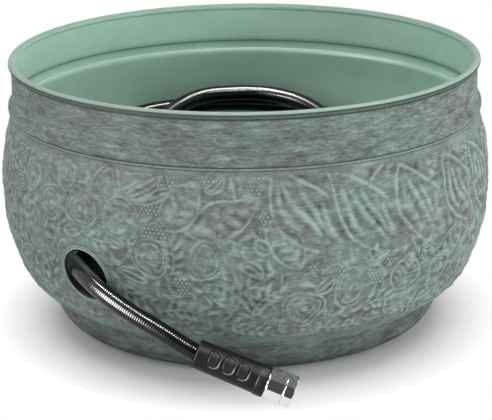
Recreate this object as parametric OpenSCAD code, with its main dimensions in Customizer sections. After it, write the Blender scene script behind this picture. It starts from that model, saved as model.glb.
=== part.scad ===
// Garden hose pot: a round sheet-steel pot with a rolled rim, a swaged neck band,
// an embossed belly, a plain foot pan and a side port. A rubber hose lies coiled
// inside, and its swivel coupling comes out through the port to the floor.
// Millimetres, +Z up. The origin is on the floor, on the axis of the pot.

/* [Pot] */
// Height of the pot from the floor to the top of the rim
pot_h = 264; // [258:1:285]
// Outside diameter of the belly at its widest
belly_d = 480; // [474:1:496]
// Height at which the belly is widest
belly_z = 139; // [130:1:150]
// Radius of the belly's profile below its widest part
belly_low_r = 180; // [165:1:200]
// Height at which the belly's profile turns in to the heel
heel_z = 60; // [52:1:68]
// Thickness of the sheet
sheet = 1.2; // [0.8:0.1:1.6]

/* [Neck] */
// How far the neck band's wall stands inside the belly's widest part
neck_in = 12.5; // [10:0.5:16]
// How far the seam stands out from the neck band's wall
seam_out = 2.3; // [1.8:0.1:3]
// Height of the seam between the neck band and the belly
seam_z = 210.5; // [204:0.5:214]
// Radius of the rolled rim
rim_r = 3.3; // [2.8:0.1:4]
// Radius of the half-round bead swaged out of the neck band
bead_r = 7.5; // [6.5:0.5:9]
// How far the bead stands out from the neck band
bead_out = 4.4; // [3.5:0.1:5.5]
// Radius of the fillet between the bead and the neck wall
bead_fillet = 6; // [4:0.5:8]
// Height of the hem at the lower edge of the neck band
hem_h = 2.6; // [2.4:0.1:4]

/* [Foot pan] */
// How far the foot's wall stands inside the belly's widest part
foot_in = 48.5; // [45:0.5:54]
// Height of the foot pan's outside wall
foot_h = 31; // [28:1:34]
// Height of the foot's straight wall over its rounded corner
foot_wall_h = 3; // [2:0.5:6]
// Height by which the pan's floor is pressed up inside the standing ring
floor_lift = 4; // [3:0.5:6]
// Width of the standing ring
ring_w = 12; // [8:1:16]
// Diameter of a drain hole
drain_d = 10; // [6:1:14]
// Radius of the circle of drain holes
drain_circle_r = 60; // [45:1:66]
// Number of drain holes
drain_count = 4; // [3:1:6]
// Height of the spigots that locate the three shells in one another
spigot_h = 4.5; // [3:0.5:6]

/* [Port] */
// Inside diameter of the port that the hose passes through
port_d = 52; // [46:1:56]
// Height of the port's centre
port_z = 99; // [92:1:104]
// Direction of the port seen from above
port_az = 231; // [227:1:235]
// Width of the eyelet's flange
eyelet_w = 4; // [3:0.5:8]
// Thickness of the eyelet
eyelet_t = 1.4; // [1:0.1:2]

/* [Hose] */
// Outside diameter of the hose
hose_d = 17; // [15:0.5:17]
// Gap between neighbouring turns of the coil
turn_gap = 0.6; // [0.5:0.1:1]
// Distance from the foot's wall in to the middle of the coil's outermost turn
coil_inset = 37.5; // [35:0.5:44]
// Loops in each layer of the coil
layer_loops = 4; // [3:1:4]
// Layers in the coil
coil_layers = 4; // [2:2:4]

/* [Grip sleeve] */
// Length of the rubber grip sleeve
grip_len = 68; // [60:1:76]
// Diameter of the sleeve where the hose enters it
grip_back_d = 22.4; // [21:0.2:24]
// Diameter of the sleeve just behind its collar
grip_front_d = 26.8; // [25:0.2:28]
// Diameter of the sleeve's collar
grip_collar_d = 28.8; // [28:0.2:31]
// Length of the sleeve's collar
grip_collar_len = 9; // [6:1:12]
// Length of one oval finger groove, across the sleeve
groove_len = 16; // [12:1:18]
// Width of one oval finger groove, along the sleeve
groove_w = 10; // [8:0.5:11]
// Depth of the finger grooves
groove_depth = 0.9; // [0.5:0.1:1.2]

/* [Coupling] */
// Diameter of the swivel nut across its corners
nut_d = 31; // [30.5:0.5:34]
// Length of the swivel nut
nut_len = 26.5; // [24:0.5:30]
// Number of flats on the swivel nut
nut_flats = 10; // [8:2:12]
// Bore of the nut's thread, at its pitch diameter
thread_d = 25.6; // [25:0.1:26]
// Length of the nut's threaded bore
thread_len = 14; // [12:0.5:16]
// Diameter of the tailpiece's neck that the nut turns on
neck_pin_d = 17.4; // [16:0.2:18]
// Waterway through the couplings
waterway_d = 9.6; // [8:0.2:11]
// Radial running clearance between the nut and the tailpiece
swivel_gap = 0.05; // [0.03:0.01:0.09]
// Thickness of the hose washer
washer_t = 3; // [2.4:0.1:3.4]
// Diameter of the male end's thread, at its pitch diameter
male_d = 25.4; // [24.8:0.1:25.8]

/* [Hidden] */
$fn = 180;

patina = [0.42, 0.50, 0.46];
rubber_black = [0.06, 0.06, 0.07];
chrome = [0.80, 0.80, 0.82];
washer_black = [0.12, 0.12, 0.12];

// Clearance between pieces that are fitted together but not joined face to face
fit_gap = 0.2;
// Clearance at which one piece rests on another
seat_gap = 0.3;

// ---- Profile of the belly: arcs that meet tangentially, [r, z] ----
belly_r = belly_d / 2;
neck_r = belly_r - neck_in;
seam_r = neck_r + seam_out;
foot_r = belly_r - foot_in;
foot_corner_r = foot_h - foot_wall_h;
cuff_h = 2;
cuff_z = foot_h + cuff_h;

upper_r = (pow(belly_r - seam_r, 2) + pow(seam_z - belly_z, 2)) / (2 * (belly_r - seam_r));
upper_c = [belly_r - upper_r, belly_z];
upper_a = asin((seam_z - belly_z) / upper_r);

lower_c = [belly_r - belly_low_r, belly_z];
lower_a = -asin((belly_z - heel_z) / belly_low_r);
heel_n = [cos(lower_a), sin(lower_a)];
heel_p = lower_c + belly_low_r * heel_n;
cuff_p = [foot_r, cuff_z];
heel_r = pow(norm(heel_p - cuff_p), 2) / (2 * heel_n * (heel_p - cuff_p));
heel_c = heel_p - heel_r * heel_n;
heel_a = -acos((cuff_p[0] - heel_c[0]) / heel_r);

// ---- Profile of the neck band ----
rim_c = [neck_r - 0.6, pot_h - rim_r];
hem_r = seam_r + 0.6;
hem_in = seam_r - sheet - fit_gap;
hem_lap = 0.9;
bead_x = neck_r + bead_out - bead_r;
bead_low_a = -acos((hem_in - bead_x) / (bead_r - sheet));
bead_c = [bead_x, seam_z + hem_h - hem_lap - bead_r * sin(bead_low_a)];
fillet_c = [neck_r + bead_fillet,
            bead_c[1] + sqrt(pow(bead_r + bead_fillet, 2) - pow(neck_r + bead_fillet - bead_c[0], 2))];
bead_top_a = atan2(fillet_c[1] - bead_c[1], fillet_c[0] - bead_c[0]);

// ---- Port: centre on the belly's outer face and direction of its axis ----
port_tilt = asin((belly_z - port_z) / belly_low_r);
port_r = lower_c[0] + belly_low_r * cos(port_tilt);
port_c = [port_r * cos(port_az), port_r * sin(port_az), port_z];
port_hole_d = port_d + 2 * eyelet_t + 2 * fit_gap;
port_reach = 12;

// ---- Hose ----
hose_r = hose_d / 2;
turn_pitch = hose_d + turn_gap;
floor_top = floor_lift + sheet;
coil_r = foot_r - coil_inset;
coil_z = floor_top + seat_gap + hose_r;
coil_top = coil_z + turn_pitch * (coil_layers - 1);
coil_start_az = 60;
loop_rings = 24;
coil_sides = 6;
lead_sides = 8;
coil_turns = layer_loops * coil_layers;

// ---- Outlet coupling: the middle of the nut's mouth and the way it points ----
outlet_dip = 22;
outlet_yaw = -6.5;
outlet_lift = 0.5;
outlet_ahead = 26;
outlet_p = [41, -belly_r - outlet_ahead, nut_d / 2 * cos(outlet_dip) + outlet_lift];
outlet_dir = [cos(outlet_dip) * cos(outlet_yaw), cos(outlet_dip) * sin(outlet_yaw), -sin(outlet_dip)];
tail_flange_t = 2.6;
nut_lip = nut_len - thread_len - washer_t - tail_flange_t - 2 * fit_gap;
nut_play = 0.3;
thread_relief = 0.3;
nut_chamfer = 1.6;
tail_shank_len = 24;
tail_shank_d = hose_d - 1;
washer_d = thread_d - 2 * fit_gap;

// ---- Inner end of the hose, which stands up towards the mouth ----
inner_at = [235.5, -57, 73];
inner_yaw = 155;
inner_rise = 48;
ferrule_len = 26;
ferrule_d = hose_d + 3.4;
male_flange_d = 29;
male_flange_t = 7;
male_len = 13;

// Route of the hose from the outer end of the bottom layer up the wall: direction seen from
// above, distance outside the coil's outermost turn, and height
lead_inside = [[90, 12, 17], [120, 21, 25], [148, 24, 39], [174, 36, 60], [192, 40, 75], [208, 49.5, 90]];

// Its route on through the port and down to the grip sleeve, from the port's centre
lead_outside = [[-14.5, 39, -1], [1, -1, -1], [20, -30, -8], [46, -50, -20], [74, -64, -33]];

// Route of the loose loops, from the outer end of the top layer to the inner end: direction,
// distance outside the coil's outermost turn, and height over the top layer
loops_route = [[30.5, 7.5, 4], [0, 8, 10], [-31, 10, 17], [-59.5, 3, 19], [-90, -4, 19],
               [-121, -9.5, 20], [-148.5, -4, 23], [-173, 9, 31], [-196, 33.5, 48],
               [-218, 57, 69], [-239, 72, 83], [-255, 72.5, 86], [-270, 72, 86],
               [-285, 69.5, 83], [-301, 60.5, 75], [-319, 41.5, 63], [-340, 16, 49],
               [-360.5, 0, 37], [-381, -14, 28], [-405.5, -24.5, 21], [-428.5, -31.5, 20],
               [-450, -29, 19], [-477.5, -34.5, 21], [-506, -36, 27], [-536, -39.5, 40],
               [-565.5, -28, 56], [-586.5, 0, 74], [-603, 32, 89], [-616, 55, 99],
               [-627.5, 59, 101], [-638, 56, 100], [-649, 43.5, 95], [-661.5, 19, 85],
               [-676, -12.5, 71], [-697.5, -39, 55], [-724.5, -52.5, 38], [-753.5, -56, 27],
               [-783, -55, 25], [-810, -56, 31]];

// ================= Helpers =================

// A wedge of a plane from angle a0 to angle a1, out to well past radius r
module wedge(a0, a1, r) {
    polygon([[0, 0], for (i = [0:4]) 2 * r * [cos(a0 + i / 4 * (a1 - a0)), sin(a0 + i / 4 * (a1 - a0))]]);
}

// The section of a sheet that follows an arc, between two radii
module arc_band(c, r_in, r_out, a0, a1) {
    translate(c)
        intersection() {
            difference() {
                circle(r_out);
                circle(r_in);
            }
            wedge(a0, a1, r_out);
        }
}

// A rectangle between two corners
module band(p0, p1) {
    translate(p0) square(p1 - p0);
}

// Stands its children on the port's axis, with +Z pointing out of the pot
module at_port() {
    rotate([0, 0, port_az])
        translate([port_r, 0, port_z])
            rotate([0, 90 + port_tilt, 0])
                children();
}

// Stands its children on the coupling's axis, with +Z pointing out of the nut's mouth
module at_outlet() {
    translate(outlet_p)
        rotate([0, 90 + outlet_dip, outlet_yaw])
            children();
}

// Stands its children on the hose's inner end, with +Z pointing out of the male end
module at_inner_end() {
    translate(inner_p)
        rotate([0, 90 - inner_rise, inner_yaw])
            children();
}

// A point given by its direction seen from above, its distance outside the coil and its height over z0
function around(p, z0) = let (r = coil_r + p[1]) [r * cos(p[0]), r * sin(p[0]), z0 + p[2]];

function smooth(u) = let (v = min(1, max(0, u))) v * v * (3 - 2 * v);

// A point on a smooth curve that passes through b and c
function curve_point(a, b, c, d, u) =
    0.5 * (2 * b + (c - a) * u + (2 * a - 5 * b + 4 * c - d) * u * u + (3 * b - a - 3 * c + d) * u * u * u);

// Points along a smooth curve through a route, n of them to each stretch
function curve(route, n) =
    [for (i = [1:len(route) - 3]) for (k = [0:n - 1])
        curve_point(route[i - 1], route[i], route[i + 1], route[i + 2], k / n),
     route[len(route) - 2]];

// The direction of a line of points at point i
function heading(p, i) =
    let (d = p[min(i + 1, len(p) - 1)] - p[max(i - 1, 0)]) d / norm(d);

// A tube along a line of points that is nowhere upright, its ends square
module tube(p, r, sides, start_dir, end_dir) {
    last = len(p) - 1;
    points = [for (i = [0:last])
                 let (t = i == 0 ? start_dir : i == last ? end_dir : heading(p, i),
                      side = cross([0, 0, 1], t) / norm(cross([0, 0, 1], t)),
                      up = cross(t, side))
                 for (k = [0:sides - 1])
                     p[i] + r * (side * cos((k + 0.5) * 360 / sides) + up * sin((k + 0.5) * 360 / sides))];
    walls = [for (i = [0:last - 1]) for (k = [0:sides - 1])
                let (a = i * sides + k, b = i * sides + (k + 1) % sides)
                for (f = [[a, b + sides, b], [a, a + sides, b + sides]]) f];
    first_cap = [for (k = [1:sides - 2]) [0, k, k + 1]];
    last_cap = [for (k = [1:sides - 2]) let (e = last * sides) [e, e + k + 1, e + k]];
    polyhedron(points, concat(walls, first_cap, last_cap));
}

// ================= Hose coil =================

// Distance in pitches from the outermost turn: in for one layer, out for the next
function coil_in(t) = layer_loops - abs(t % (2 * layer_loops) - layer_loops);

// The layer at turn t, climbed in the half turn round each reversal
function coil_layer(t) =
    let (steps = [for (k = [1:coil_layers - 1]) smooth((t - k * layer_loops + 0.25) / 0.5)])
    steps * [for (s = steps) 1];

function coil_point(t) =
    let (a = coil_start_az - 360 * t, r = coil_r - turn_pitch * coil_in(t))
    [r * cos(a), r * sin(a), coil_z + turn_pitch * coil_layer(t)];

coil_last = coil_turns * loop_rings;
coil_line = [for (i = [0:coil_last]) coil_point(i / loop_rings)];
coil_out_dir = [-sin(coil_start_az), cos(coil_start_az), 0];
coil_start = coil_line[0] + hose_d * coil_out_dir;
coil_end = coil_line[coil_last] - hose_d * coil_out_dir;

// Least gap of the coil to itself, between points at least a third of a turn apart
coil_gap = min([for (i = [0:coil_last]) for (j = [i + loop_rings / 3:coil_last])
                   norm(coil_line[i] - coil_line[j])]) - hose_d;
echo(coil_least_gap = coil_gap);

hose_end = outlet_p - (nut_len + tail_shank_len) * outlet_dir;
grip_back = outlet_p - (nut_len + grip_len) * outlet_dir;
inner_p = around(inner_at, coil_top);
inner_dir = [cos(inner_rise) * cos(inner_yaw), cos(inner_rise) * sin(inner_yaw), sin(inner_rise)];

lead_line = concat(curve(concat([coil_start - 30 * coil_out_dir, coil_start],
                                [for (p = lead_inside) around(p, 0)], [for (p = lead_outside) port_c + p],
                                [grip_back, grip_back + 25 * outlet_dir]), 2),
                   [hose_end]);
loops_line = curve(concat([coil_end + 30 * coil_out_dir, coil_end], [for (p = loops_route) around(p, coil_top)],
                          [inner_p - (ferrule_len + 4) * inner_dir, inner_p, inner_p + 30 * inner_dir]), 1);

// ================= Pot =================

module neck_band() {
    color(patina)
        rotate_extrude() {
            translate(rim_c)
                difference() {
                    circle(rim_r);
                    circle(rim_r - sheet);
                }
            band([neck_r - sheet, fillet_c[1]], [neck_r, rim_c[1] - rim_r + sheet / 2]);
            arc_band(fillet_c, bead_fillet, bead_fillet + sheet, 180, 180 + bead_top_a);
            arc_band(bead_c, bead_r - sheet, bead_r, bead_low_a, bead_top_a);
            band([hem_in, seam_z], [hem_r, seam_z + hem_h]);
        }
}

module belly_shell() {
    lip_r = hem_in - fit_gap;
    color(patina)
        difference() {
            rotate_extrude() {
                intersection() {
                    arc_band(upper_c, upper_r - sheet, upper_r, 0, upper_a + 2);
                    band([seam_r - 2 * sheet, belly_z - 1], [belly_r + 1, seam_z]);
                }
                arc_band(lower_c, belly_low_r - sheet, belly_low_r, lower_a - 0.5, 0);
                intersection() {
                    arc_band(heel_c, heel_r - sheet, heel_r, heel_a - 6, lower_a);
                    band([foot_r - sheet, cuff_z], [belly_r + 1, heel_z + 1]);
                }
                // Lip that the neck band sits over
                band([lip_r - sheet, seam_z - sheet], [seam_r - sheet / 2, seam_z]);
                band([lip_r - sheet, seam_z - sheet], [lip_r, seam_z + spigot_h]);
                // Cuff that sits over the foot pan
                band([foot_r - sheet, foot_h], [foot_r, cuff_z + sheet / 2]);
            }
            at_port() cylinder(d = port_hole_d, h = 2 * port_reach, center = true);
        }
}

module base_pan() {
    ring_out = foot_r - foot_corner_r;
    ring_in = ring_out - ring_w;
    spigot_r = foot_r - sheet - fit_gap;
    color(patina)
        difference() {
            rotate_extrude() {
                // Floor, pressed up inside the standing ring
                band([0, floor_lift], [ring_in - floor_lift, floor_top]);
                polygon([[ring_in - floor_lift - sheet, floor_lift], [ring_in - floor_lift, floor_lift],
                         [ring_in, 0], [ring_in + sheet, 0], [ring_in + sheet, sheet],
                         [ring_in - floor_lift + sheet / 2, floor_top],
                         [ring_in - floor_lift - sheet, floor_top]]);
                band([ring_in + sheet / 2, 0], [ring_out, sheet]);
                // Corner and wall
                arc_band([ring_out, foot_corner_r], foot_corner_r - sheet, foot_corner_r, -90, 0);
                band([foot_r - sheet, foot_corner_r], [foot_r, foot_h]);
                // Joggle and spigot that the belly's cuff sits over
                band([spigot_r - sheet, foot_h - sheet], [foot_r - sheet / 2, foot_h]);
                band([spigot_r - sheet, foot_h - sheet], [spigot_r, foot_h + spigot_h]);
            }
            for (i = [0:drain_count - 1])
                rotate([0, 0, (i + 0.5) * 360 / drain_count])
                    translate([drain_circle_r, 0, floor_lift - 1])
                        cylinder(d = drain_d, h = sheet + 2);
        }
}

module port_eyelet() {
    barrel_r = port_d / 2 + eyelet_t;
    color(patina)
        difference() {
            intersection() {
                rotate_extrude()
                    arc_band(lower_c, belly_low_r - 2 * sheet, belly_low_r + eyelet_t, lower_a, 0);
                at_port() pipe(port_d / 2, barrel_r + eyelet_w);
            }
            // The flange stands on the belly's outer face; only the barrel goes through it
            intersection() {
                rotate_extrude()
                    arc_band(lower_c, belly_low_r - 3 * sheet, belly_low_r + 0.05, lower_a - 1, 1);
                at_port() pipe(barrel_r, barrel_r + eyelet_w + 1);
            }
        }
}

module pipe(r_in, r_out) {
    difference() {
        cylinder(r = r_out, h = 2 * port_reach, center = true);
        cylinder(r = r_in, h = 2 * port_reach + 2, center = true);
    }
}

// ================= Hose =================

module hose_coil() {
    color(rubber_black)
        tube(concat([coil_start], coil_line, [coil_end]), hose_r, coil_sides, -coil_out_dir, -coil_out_dir);
}

module port_lead() {
    color(rubber_black)
        tube(lead_line, hose_r, lead_sides, coil_out_dir, outlet_dir);
}

module top_loops() {
    color(rubber_black)
        tube(loops_line, hose_r, lead_sides, -coil_out_dir, inner_dir);
}

// ================= Outlet =================

// An oval ring to be cut into the side of the sleeve
module oval_ring(len, wid, line) {
    linear_extrude(height = grip_collar_d)
        difference() {
            oval(len, wid);
            oval(len - 2 * line, wid - 2 * line);
        }
}

module oval(len, wid) {
    for (s = [-1, 1])
        translate([0, s * (len - wid) / 2]) circle(d = wid);
    square([wid, len - wid], center = true);
}

module grip_sleeve() {
    core_r = hose_r + seat_gap;
    line = 1.8;
    span = grip_len - grip_collar_len;
    taper = (grip_front_d - grip_back_d) / 2 / span;
    color(rubber_black)
        at_outlet()
            translate([0, 0, -nut_len - grip_len])
                difference() {
                    rotate_extrude()
                        polygon([[core_r, 0], [grip_back_d / 2 - 0.6, 0], [grip_back_d / 2, 0.6],
                                 [grip_front_d / 2, span], [grip_collar_d / 2, span + 1],
                                 [grip_collar_d / 2, grip_len - 0.6], [grip_collar_d / 2 - 0.6, grip_len],
                                 [core_r, grip_len]]);
                    for (side = [-90, 90])
                        for (i = [0:2])
                            let (z = grip_len * (0.28 + 0.21 * i), r = grip_back_d / 2 + taper * z)
                                rotate([0, 0, side])
                                    translate([r - groove_depth - 1, 0, z])
                                        rotate([0, 90, 0])
                                            oval_ring(groove_len, groove_w, line);
                }
}

module coupling_tail() {
    pin_len = nut_lip + fit_gap;
    color(chrome)
        at_outlet()
            translate([0, 0, -nut_len])
                rotate_extrude()
                    difference() {
                        union() {
                            // Shank inside the sleeve, up against the end of the hose
                            band([0, -tail_shank_len], [tail_shank_d / 2, -seat_gap]);
                            // Neck that the nut turns on
                            band([0, -seat_gap - 1], [neck_pin_d / 2, pin_len]);
                            // Flange that the nut pulls on
                            band([0, pin_len], [thread_d / 2 - 1, pin_len + tail_flange_t]);
                        }
                        band([-1, -tail_shank_len - 1], [waterway_d / 2, pin_len + tail_flange_t + 1]);
                    }
}

module coupling_nut() {
    groove_z = 0.62 * nut_len;
    groove_half = 0.8;
    color(chrome)
        at_outlet()
            translate([0, 0, -nut_len])
                difference() {
                    intersection() {
                        rotate([0, 0, 180 / nut_flats]) cylinder(d = nut_d, h = nut_len, $fn = nut_flats);
                        // Chamfers at both ends and the groove round the flats
                        rotate_extrude()
                            polygon([[0, nut_play], [nut_d / 2 - nut_chamfer / 2, nut_play], [nut_d / 2, nut_chamfer],
                                     [nut_d / 2, groove_z - groove_half],
                                     [nut_d / 2 - 1.6, groove_z], [nut_d / 2, groove_z + groove_half],
                                     [nut_d / 2, nut_len - nut_chamfer],
                                     [nut_d / 2 - nut_chamfer, nut_len], [0, nut_len]]);
                    }
                    translate([0, 0, -1]) cylinder(d = neck_pin_d + 2 * swivel_gap, h = nut_len);
                    // Relief round the washer, then the thread
                    translate([0, 0, nut_lip])
                        cylinder(d = thread_d + 2 * thread_relief, h = nut_len - thread_len - nut_lip);
                    translate([0, 0, nut_lip]) cylinder(d = thread_d, h = nut_len);
                }
}

module hose_washer() {
    washer_z = nut_lip + fit_gap + tail_flange_t + fit_gap - nut_len;
    color(washer_black)
        at_outlet()
            translate([0, 0, washer_z])
                difference() {
                    cylinder(d = washer_d, h = washer_t);
                    translate([0, 0, -1]) cylinder(d = waterway_d + 5, h = washer_t + 2);
                }
}

// ================= Inner end =================

module male_ferrule() {
    color(chrome)
        at_inner_end()
            rotate_extrude()
                difference() {
                    union() {
                        band([0, -ferrule_len + 2], [ferrule_d / 2, 0]);
                        band([0, -ferrule_len], [ferrule_d / 2 - 0.6, -ferrule_len + 2]);
                    }
                    band([-1, -ferrule_len - 1], [hose_r + seat_gap, 1]);
                }
}

module male_coupling() {
    color(chrome)
        at_inner_end()
            difference() {
                union() {
                    rotate([0, 0, 22.5]) cylinder(d = male_flange_d, h = male_flange_t, $fn = 8);
                    cylinder(d = male_d - 3, h = male_flange_t + 2);
                    translate([0, 0, male_flange_t + 1]) cylinder(d = male_d, h = male_len - 1);
                }
                translate([0, 0, -1]) cylinder(d = waterway_d, h = male_flange_t + male_len + 2);
            }
}

neck_band();
belly_shell();
base_pan();
port_eyelet();
hose_coil();
port_lead();
top_loops();
grip_sleeve();
coupling_tail();
coupling_nut();
hose_washer();
male_ferrule();
male_coupling();
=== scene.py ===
"""Looks of a garden hose pot: an embossed, patinated sheet-metal pot with a coiled rubber hose in it.

Lengths are in metres, +Z is up, and the pot stands on z = 0 on the Z axis. The camera looks along +Y.
"""
import math

import bpy
import numpy as np
from mathutils import Matrix, Quaternion, Vector


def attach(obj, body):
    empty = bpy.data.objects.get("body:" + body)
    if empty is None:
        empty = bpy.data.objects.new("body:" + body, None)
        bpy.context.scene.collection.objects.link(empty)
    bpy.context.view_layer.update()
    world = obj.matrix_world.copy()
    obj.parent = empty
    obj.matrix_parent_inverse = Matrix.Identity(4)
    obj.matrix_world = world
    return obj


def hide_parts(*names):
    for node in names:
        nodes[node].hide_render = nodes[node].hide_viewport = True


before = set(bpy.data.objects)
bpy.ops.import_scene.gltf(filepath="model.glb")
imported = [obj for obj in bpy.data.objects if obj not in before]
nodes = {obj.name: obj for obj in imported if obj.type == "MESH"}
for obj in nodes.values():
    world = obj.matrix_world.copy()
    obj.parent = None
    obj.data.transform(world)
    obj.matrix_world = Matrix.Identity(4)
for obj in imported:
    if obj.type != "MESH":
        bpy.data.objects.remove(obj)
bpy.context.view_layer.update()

MM = 0.001
# The height of the seam over the belly, and the thickness of the sheet metal
SEAM_Z, SHEET = 210.5 * MM, 1.2 * MM
# Every random draw comes from this generator, in a fixed order
RNG = np.random.default_rng(11)

# ---- camera

IMAGE_W, FOCAL_PX, SENSOR_W = 492, 2049.0, 36
CAM_DISTANCE, CAM_DIP, CAM_ROLL = 2.054, math.radians(17.765), math.radians(-0.65)
CAM_TARGET = Vector((0, 0, 0.1016))
CLIP_NEAR, CLIP_FAR = 0.05, 60


def make_camera():
    """A camera that looks along +Y and somewhat down, with a slight roll."""
    data = bpy.data.cameras.new("camera")
    data.sensor_width = SENSOR_W
    data.lens = FOCAL_PX * SENSOR_W / IMAGE_W
    data.clip_start, data.clip_end = CLIP_NEAR, CLIP_FAR
    cam = bpy.data.objects.new("camera", data)
    ahead = Vector((0, math.cos(CAM_DIP), -math.sin(CAM_DIP)))
    turn = Matrix.Rotation(math.pi / 2 - CAM_DIP, 4, "X") @ Matrix.Rotation(CAM_ROLL, 4, "Z")
    cam.matrix_world = Matrix.Translation(CAM_TARGET - ahead * CAM_DISTANCE) @ turn
    bpy.context.collection.objects.link(cam)
    bpy.context.scene.camera = cam


make_camera()

# ---- mesh helpers


def new_mesh(name, verts, quads, attributes=None, materials=(), slots=None, tris=None):
    """A smooth mesh from arrays of vertices, quads and triangles, with float attributes on its points."""
    mesh = bpy.data.meshes.new(name)
    faces = np.asarray(quads).tolist() + ([] if tris is None else tris.tolist())
    mesh.from_pydata(np.asarray(verts).tolist(), [], faces, shade_flat=False)
    for key, values in (attributes or {}).items():
        mesh.attributes.new(key, "FLOAT", "POINT").data.foreach_set("value", np.asarray(values, np.float32))
    for material in materials:
        mesh.materials.append(material)
    if slots is not None:
        mesh.polygons.foreach_set("material_index", np.asarray(slots, np.int32))
    mesh.validate()
    obj = bpy.data.objects.new(name, mesh)
    bpy.context.collection.objects.link(obj)
    return obj


def polar(r, a, z):
    """A place at radius r and angle a round the Z axis."""
    return r * math.cos(a), r * math.sin(a), z


def heading(yaw, rise):
    """A unit vector at angle yaw round the Z axis that rises by an angle."""
    return polar(math.cos(rise), yaw, math.sin(rise))


def spokes(n, u, v):
    """n unit vectors, evenly round the circle from u towards v."""
    a = np.arange(n) * 2 * math.pi / n
    return np.cos(a)[:, None] * u + np.sin(a)[:, None] * v


def tube_quads(rings, sides, closed=False):
    """Quads between rings of points, each and the next, and the last and the first if closed."""
    i = np.arange(rings if closed else rings - 1)[:, None]
    j = np.arange(sides)[None, :]
    here, ahead, k = i * sides, (i + 1) % rings * sides, (j + 1) % sides
    return np.stack([here + j, here + k, ahead + k, ahead + j], -1).reshape(-1, 4)


# ---- hose

HOSE_D = 17 * MM
HOSE_R = HOSE_D / 2
HOSE_SIDES = 16
RIB_PITCH, RIB_DEPTH = 2.3 * MM, 0.25 * MM
# Steps along the hose where it is ribbed, in the coil, and for the cord's path
RIB_STEP, COIL_STEP, PATH_STEP = RIB_PITCH / 4, 9 * MM, 4 * MM
TURN_PITCH = 17.6 * MM
COIL_R, COIL_Z = 154 * MM, 14 * MM
COIL_START_AZ = math.radians(60)
LAYER_LOOPS, COIL_LAYERS = 4, 4
COIL_TURNS = LAYER_LOOPS * COIL_LAYERS
TURN_POINTS = 64
OUTLET = Vector((41, -266, 14.871)) * MM
OUTLET_DIP, OUTLET_YAW = math.radians(22), math.radians(-6.5)
OUTLET_DIR = Vector(heading(OUTLET_YAW, -OUTLET_DIP))
NUT_LEN, GRIP_LEN, SHANK_LEN = 26.5 * MM, 68 * MM, 24 * MM
COIL_TOP = COIL_Z + (COIL_LAYERS - 1) * TURN_PITCH
INNER_YAW, INNER_RISE = math.radians(155), math.radians(48)
INNER_DIR = Vector(heading(INNER_YAW, INNER_RISE))
FERRULE_LEN = 26 * MM
# How far beyond a curve's end its steering point lies
STEER = 30 * MM

# Direction seen from above (degrees), distance outside the coil's outermost turn, height (mm)
LEAD_INSIDE = [(90, 12, 17), (120, 21, 25), (148, 24, 39), (174, 36, 60), (192, 40, 75), (208, 49.5, 90)]
# From the port's centre (mm)
LEAD_OUTSIDE = [(-14.5, 39, -1), (1, -1, -1), (20, -30, -8), (46, -50, -20), (74, -64, -33)]
# As the first list, with the height over the coil's top layer
LOOPS_ROUTE = [
    (30.5, 7.5, 4), (0, 8, 10), (-31, 10, 17), (-59.5, 3, 19), (-90, -4, 19), (-121, -9.5, 20),
    (-148.5, -4, 23), (-173, 9, 31), (-196, 33.5, 48), (-218, 57, 69), (-239, 72, 83), (-255, 72.5, 86),
    (-270, 72, 86), (-285, 69.5, 83), (-301, 60.5, 75), (-319, 41.5, 63), (-340, 16, 49), (-360.5, 0, 37),
    (-381, -14, 28), (-405.5, -24.5, 21), (-428.5, -31.5, 20), (-450, -29, 19), (-477.5, -34.5, 21),
    (-506, -36, 27), (-536, -39.5, 40), (-565.5, -28, 56), (-586.5, 0, 74), (-603, 32, 89), (-616, 55, 99),
    (-627.5, 59, 101), (-638, 56, 100), (-649, 43.5, 95), (-661.5, 19, 85), (-676, -12.5, 71),
    (-697.5, -39, 55), (-724.5, -52.5, 38), (-753.5, -56, 27), (-783, -55, 25), (-810, -56, 31)]
INNER_AT = (235.5, -57, 73)


def around(p, z0):
    """A place from its direction, distance outside the coil's outermost turn and height over z0."""
    return Vector(polar(COIL_R + p[1] * MM, math.radians(p[0]), z0 + p[2] * MM))


INNER_END = around(INNER_AT, COIL_TOP)


def smooth(u):
    """u from 0 to 1, eased at both ends and held beyond them."""
    v = min(1.0, max(0.0, u))
    return v * v * (3 - 2 * v)


def coil_point(t):
    """A point t turns along the coil, which spirals in and out and climbs at each reversal."""
    inward = LAYER_LOOPS - abs(t % (2 * LAYER_LOOPS) - LAYER_LOOPS)
    layer = sum(smooth((t - k * LAYER_LOOPS + 0.25) / 0.5) for k in range(1, COIL_LAYERS))
    return Vector(polar(COIL_R - TURN_PITCH * inward, COIL_START_AZ - 2 * math.pi * t,
                        COIL_Z + TURN_PITCH * layer))


def curve(route, n):
    """Points on a smooth curve through a route, n to each stretch; the route's ends only steer it."""
    out = []
    for a, b, c, d in zip(route, route[1:], route[2:], route[3:]):
        for k in range(n):
            u = k / n
            out.append(0.5 * (2 * b + (c - a) * u + (2 * a - 5 * b + 4 * c - d) * u ** 2
                              + (3 * b - a - 3 * c + d) * u ** 3))
    return out + [route[-2]]


def distances(p):
    """How far along a line of points each of them lies."""
    return np.concatenate([[0], np.cumsum(np.linalg.norm(np.diff(p, axis=0), axis=1))])


def resample(points, step):
    """Points at even distances, about step, along a line of points."""
    p = np.array(points, float)
    s = distances(p)
    at = np.linspace(0, s[-1], max(2, int(round(s[-1] / step)) + 1))
    return np.stack([np.interp(at, s, p[:, k]) for k in range(3)], -1)


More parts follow.
